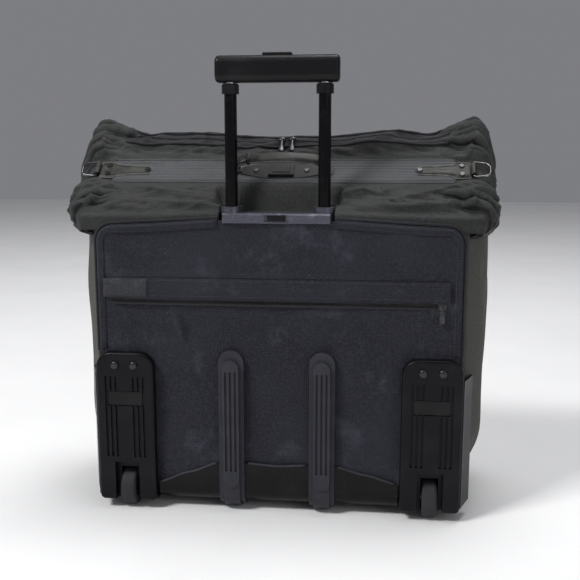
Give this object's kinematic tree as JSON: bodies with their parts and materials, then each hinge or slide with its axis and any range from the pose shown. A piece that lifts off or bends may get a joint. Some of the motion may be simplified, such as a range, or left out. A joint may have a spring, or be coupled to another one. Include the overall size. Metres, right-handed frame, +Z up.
{
  "type": "wheeled garment bag",
  "caption": "Black nylon fold-over garment bag on wheels, with telescopic handle, carry handle, zipped pocket and a front half that folds open.",
  "frame": {"origin": "on the floor, under the middle of the bag's whole width and depth", "axes": "+X across the bag, to the right seen from the wheel side; -Y towards the wheel and handle side; +Z up"},
  "size_m": [0.6598, 0.27, 0.712],
  "materials": {
    "ballistic_nylon": "black ballistic nylon, coarse plain weave, semi-matt",
    "fold_nylon": "black nylon, soft and creased",
    "piping": "black corded piping",
    "webbing": "black ribbed webbing",
    "lining": "dark grey lining cloth",
    "leather": "black leather, edges painted and worn",
    "moulded": "black moulded plastic, satin",
    "kick_vinyl": "black smooth kick plate, glossy and scuffed",
    "board": "grey stiffening board",
    "bezel_metal": "gunmetal, satin",
    "tube_black": "black anodised, glossy",
    "tube_raw": "drawn aluminium",
    "steel": "plain steel",
    "rivet": "dark nickel",
    "tyre": "dark grey polyurethane tread",
    "hub": "black nylon hub",
    "foot": "black rubber",
    "zip": "black coil zip on woven tape"
  },
  "bodies": {
    "back_half": {"back_panel": "ballistic_nylon", "pocket_flap": "ballistic_nylon", "gusset_left": "ballistic_nylon", "gusset_right": "ballistic_nylon", "gusset_bottom": "ballistic_nylon", "upper_fold": "fold_nylon", "ears": "fold_nylon", "piping": "piping", "handle_band": "webbing", "inner_lining": "lining", "leather_tabs": "leather", "housing_left": "moulded", "housing_right": "moulded", "skids": "moulded", "catch_frame": "moulded", "base_plate": "moulded", "tube_bushes": "moulded", "bottom_bracket": "moulded", "housing_badges": "moulded", "hanger_bracket": "moulded", "kick_plate": "kick_vinyl", "back_board": "board", "bezel": "bezel_metal", "outer_tubes": "tube_raw", "frame_screws": "steel", "wheel_axles": "steel", "rim_wire": "steel", "housing_rivets": "rivet", "handle_rivets": "rivet", "front_feet": "foot", "pocket_zip": "zip", "main_zip_back": "zip", "crest_zip": "zip"},
    "bezel_button": {"bezel_button": "moulded"},
    "catch_button": {"catch_button": "moulded"},
    "wheel_left": {"tyre_left": "tyre", "hub_left": "hub", "bearings_left": "steel"},
    "wheel_right": {"tyre_right": "tyre", "hub_right": "hub", "bearings_right": "steel"},
    "handle_lower_stage": {"mid_tube_left": "tube_black", "mid_tube_right": "tube_black", "mid_collars": "moulded"},
    "handle_upper_stage": {"inner_tubes": "tube_raw", "grip": "moulded"},
    "grip_button": {"grip_button": "moulded", "push_rods": "steel"},
    "carry_handle": {"carry_handle": "leather"},
    "d_ring_left": {"d_ring_left": "steel"},
    "d_ring_right": {"d_ring_right": "steel"},
    "pocket_slider": {"pocket_slider": "zip"},
    "pocket_pull": {"pocket_pull": "zip"},
    "front_half": {"front_panel": "ballistic_nylon", "front_gusset_left": "ballistic_nylon", "front_gusset_right": "ballistic_nylon", "front_gusset_bottom": "ballistic_nylon", "front_gusset_top": "ballistic_nylon", "front_pocket": "ballistic_nylon", "main_zip_front": "zip"}
  },
  "joints": [
    {"name": "front_half_fold", "type": "hinge", "parent": "back_half", "child": "front_half", "pos_m": [0, 0.0225, 0.597], "axis": [1, 0, 0], "range_deg": [0, 130]},
    {"name": "lower_stage_slide", "type": "slide", "parent": "back_half", "child": "handle_lower_stage", "axis": [0, 0, 1], "range_m": [-0.165, 0.15]},
    {"name": "upper_stage_slide", "type": "slide", "parent": "handle_lower_stage", "child": "handle_upper_stage", "axis": [0, 0, 1], "range_m": [0, 0.22]},
    {"name": "grip_button_press", "type": "slide", "parent": "handle_upper_stage", "child": "grip_button", "axis": [0, 0, -1], "range_m": [0, 0.004], "stiffness_N_per_m": 1500, "springref_m": -0.002},
    {"name": "bezel_button_press", "type": "slide", "parent": "back_half", "child": "bezel_button", "axis": [0, 1, 0], "range_m": [0, 0.002], "stiffness_N_per_m": 800, "springref_m": -0.001},
    {"name": "catch_press", "type": "slide", "parent": "back_half", "child": "catch_button", "axis": [0, 0.6876, -0.7261], "range_m": [0, 0.0014], "stiffness_N_per_m": 800, "springref_m": -0.001},
    {"name": "wheel_left_spin", "type": "hinge", "parent": "back_half", "child": "wheel_left", "pos_m": [-0.2387, -0.104, 0.031], "axis": [1, 0, 0], "continuous": true},
    {"name": "wheel_right_spin", "type": "hinge", "parent": "back_half", "child": "wheel_right", "pos_m": [0.2387, -0.104, 0.031], "axis": [1, 0, 0], "continuous": true},
    {"name": "carry_handle_swing", "type": "hinge", "parent": "back_half", "child": "carry_handle", "pos_m": [0, -0.04962, 0.54229], "axis": [1, 0, 0], "range_deg": [-35, 35]},
    {"name": "d_ring_right_swing", "type": "hinge", "parent": "back_half", "child": "d_ring_right", "pos_m": [0.297, -0.04728, 0.53982], "axis": [0, -0.7261, -0.6876], "range_deg": [0, 140]},
    {"name": "d_ring_left_swing", "type": "hinge", "parent": "back_half", "child": "d_ring_left", "pos_m": [-0.297, -0.04728, 0.53982], "axis": [0, 0.7261, 0.6876], "range_deg": [0, 140]},
    {"name": "pocket_slider_run", "type": "slide", "parent": "back_half", "child": "pocket_slider", "axis": [-1, 0, 0], "range_m": [0, 0.49]},
    {"name": "pocket_pull_swing", "type": "hinge", "parent": "pocket_slider", "child": "pocket_pull", "pos_m": [0.25, -0.124, 0.335], "axis": [-1, 0, 0], "range_deg": [0, 120]}
  ]
}
